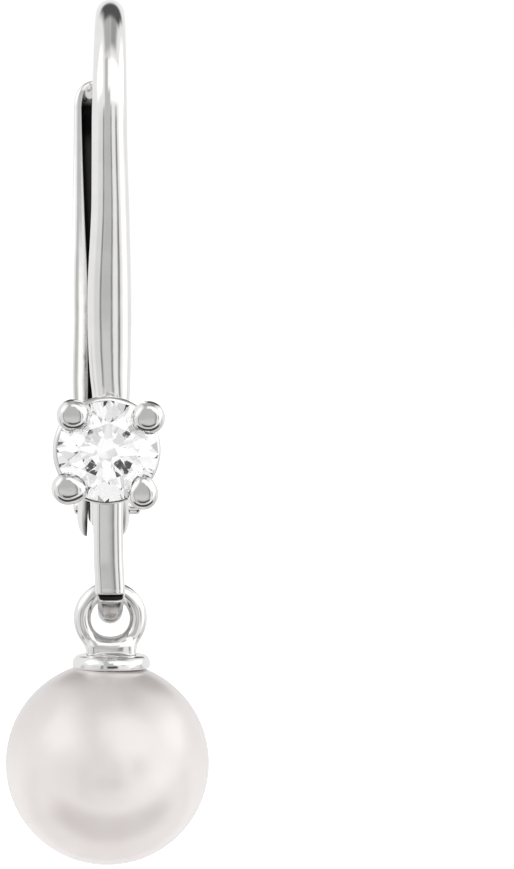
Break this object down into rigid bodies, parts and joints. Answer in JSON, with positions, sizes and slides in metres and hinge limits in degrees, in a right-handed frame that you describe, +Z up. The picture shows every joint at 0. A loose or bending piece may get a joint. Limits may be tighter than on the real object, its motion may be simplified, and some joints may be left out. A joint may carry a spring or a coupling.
{
  "type": "pearl earring",
  "caption": "Leverback drop earring: an ear wire with a claw-set cut stone in front, a hinged lever that closes behind the ear, and a round pearl hanging from a ring.",
  "frame": {"origin": "the underside of the ear wire's arch at its top, where the earring hangs in the ear", "axes": "+Z up along the hanging earring, +Y to the back, towards the lever, -Y to the front, towards the stone, +X across the earring"},
  "size_m": [0.0059, 0.0096, 0.0256],
  "materials": {
    "white_gold": "polished, rhodium-bright",
    "diamond": "clear, cut and polished",
    "pearl": "soft nacre lustre"
  },
  "bodies": {
    "front": {"ear_wire": "white_gold", "stone": "diamond"},
    "lever": {"lever": "white_gold", "hinge_pin": "white_gold"},
    "drop": {"drop_cap": "white_gold", "pearl": "pearl"}
  },
  "joints": [
    {"name": "lever_hinge", "type": "hinge", "parent": "front", "child": "lever", "pos_m": [0, -0.0004, -0.0143], "axis": [-1, 0, 0], "range_deg": [0, 65]},
    {"name": "drop_swing", "type": "hinge", "parent": "front", "child": "drop", "pos_m": [0, -0.00235, -0.01655], "axis": [1, 0, 0], "range_deg": [-80, 70]}
  ]
}
